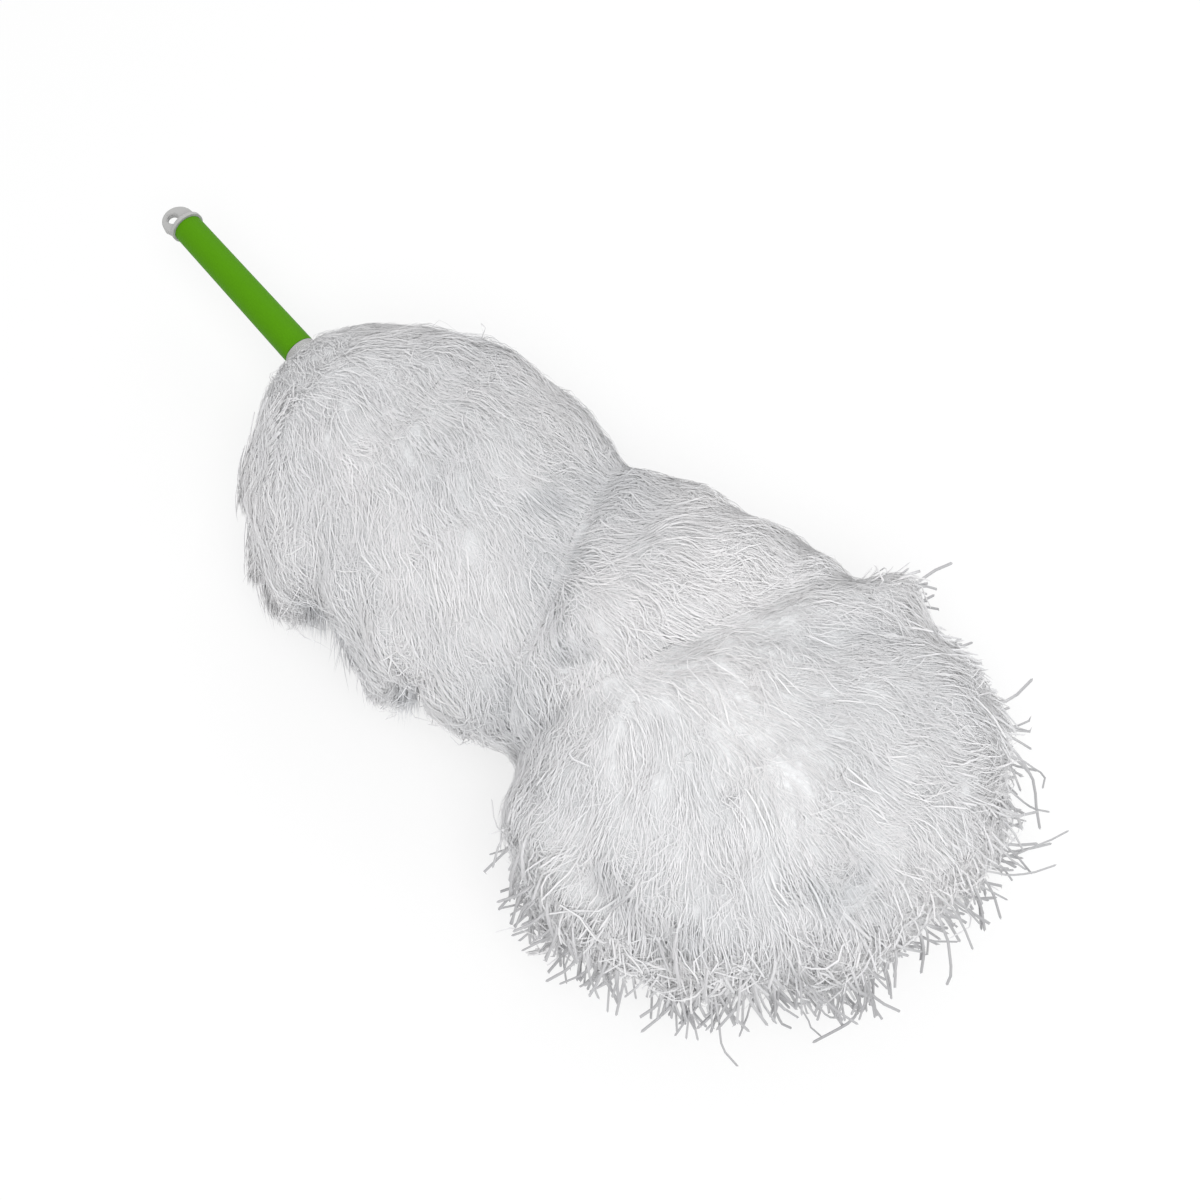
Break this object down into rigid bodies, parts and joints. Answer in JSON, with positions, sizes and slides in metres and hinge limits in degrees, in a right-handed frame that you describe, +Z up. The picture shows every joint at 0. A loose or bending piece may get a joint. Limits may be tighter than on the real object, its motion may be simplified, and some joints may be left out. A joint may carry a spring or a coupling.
{
  "type": "microfiber duster",
  "caption": "Hand duster: round tube handle with a hanging eye, short collar and a long shaggy fringed head for gathering dust.",
  "frame": {"origin": "under the middle of the duster's box, on the surface that it lies on", "axes": "+X along the handle from the hanging eye to the tip of the head, +Y to the left side, +Z up"},
  "size_m": [0.6146, 0.2888, 0.1575],
  "materials": {
    "white_plastic": "satin",
    "green_plastic": "satin",
    "grey_plastic": "matte",
    "steel": "satin",
    "grey_tape": "matte",
    "white_microfiber": "matte"
  },
  "bodies": {
    "head": {"ferrule": "white_plastic", "core_tube": "grey_plastic", "core_rivet": "steel", "tip_plug": "grey_plastic", "backing_tape": "grey_tape", "band_near": "steel", "band_tip": "steel", "fringe_neck": "white_microfiber", "fringe_shoulder": "white_microfiber", "fringe_waist": "white_microfiber", "fringe_front": "white_microfiber"},
    "handle": {"handle_tube": "green_plastic"},
    "cap": {"hang_cap": "white_plastic"}
  },
  "joints": [
    {"name": "handle_pull", "type": "slide", "parent": "head", "child": "handle", "axis": [-1, 0, 0], "range_m": [0, 0.045]},
    {"name": "cap_turn", "type": "hinge", "parent": "handle", "child": "cap", "pos_m": [-0.29069, -0.02786, 0.06], "axis": [1, 0, 0], "continuous": true}
  ]
}
